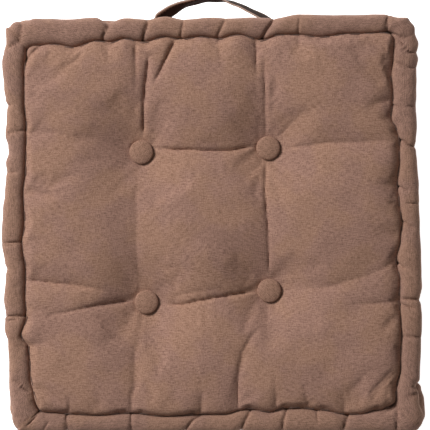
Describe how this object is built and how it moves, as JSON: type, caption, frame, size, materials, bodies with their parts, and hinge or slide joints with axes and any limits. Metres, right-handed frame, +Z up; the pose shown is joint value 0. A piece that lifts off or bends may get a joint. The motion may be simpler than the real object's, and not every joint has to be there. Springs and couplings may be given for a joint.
{
  "type": "floor cushion",
  "caption": "Square tufted box floor cushion with stuffed rolled edges, covered buttons and a carrying strap loop on one side.",
  "frame": {"origin": "middle of the flat underside, on the surface that the cushion lies on", "axes": "+Z up out of the tufted top, +Y towards the side with the carrying strap, +X to the right seen from above with the strap at the far side"},
  "size_m": [0.4, 0.4195, 0.08],
  "materials": {
    "panel_canvas": "slubby plain-weave cotton canvas",
    "roll_canvas": "the same canvas, stretched round the stuffed edge",
    "button_canvas": "the same canvas, drawn tight over a button",
    "strap_canvas": "the same canvas, folded and edge-stitched",
    "thread": "brown sewing thread",
    "fibre": "loose fibre filling",
    "twine": "waxed tufting twine",
    "button_metal": "pressed plated steel"
  },
  "bodies": {
    "cushion": {"top_panel": "panel_canvas", "base_panel": "panel_canvas", "filling": "fibre", "front_gusset": "panel_canvas", "right_gusset": "panel_canvas", "back_gusset": "panel_canvas", "left_gusset": "panel_canvas", "base_front_roll": "roll_canvas", "base_right_roll": "roll_canvas", "base_back_roll": "roll_canvas", "base_left_roll": "roll_canvas", "top_front_roll": "roll_canvas", "top_right_roll": "roll_canvas", "top_back_roll": "roll_canvas", "top_left_roll": "roll_canvas", "base_front_roll_wadding": "fibre", "base_right_roll_wadding": "fibre", "base_back_roll_wadding": "fibre", "base_left_roll_wadding": "fibre", "top_front_roll_wadding": "fibre", "top_right_roll_wadding": "fibre", "top_back_roll_wadding": "fibre", "top_left_roll_wadding": "fibre", "base_front_left_button_cover": "button_canvas", "base_front_right_button_cover": "button_canvas", "base_back_left_button_cover": "button_canvas", "base_back_right_button_cover": "button_canvas", "top_front_left_button_cover": "button_canvas", "top_front_right_button_cover": "button_canvas", "top_back_left_button_cover": "button_canvas", "top_back_right_button_cover": "button_canvas", "base_front_left_button_shell": "button_metal", "base_front_right_button_shell": "button_metal", "base_back_left_button_shell": "button_metal", "base_back_right_button_shell": "button_metal", "top_front_left_button_shell": "button_metal", "top_front_right_button_shell": "button_metal", "top_back_left_button_shell": "button_metal", "top_back_right_button_shell": "button_metal", "base_front_left_button_back": "button_metal", "base_front_right_button_back": "button_metal", "base_back_left_button_back": "button_metal", "base_back_right_button_back": "button_metal", "top_front_left_button_back": "button_metal", "top_front_right_button_back": "button_metal", "top_back_left_button_back": "button_metal", "top_back_right_button_back": "button_metal", "front_left_tuft_twine": "twine", "front_right_tuft_twine": "twine", "back_left_tuft_twine": "twine", "back_right_tuft_twine": "twine", "handle_left_tab": "strap_canvas", "handle_right_tab": "strap_canvas", "handle_stitching": "thread", "base_edge_stitching": "thread", "top_edge_stitching": "thread"},
    "handle": {"handle_strap": "strap_canvas"}
  },
  "joints": [
    {"name": "handle_swing", "type": "hinge", "parent": "cushion", "child": "handle", "pos_m": [0.004, 0.20254, 0.0374], "axis": [1, 0, 0], "range_deg": [-30, 30]}
  ]
}
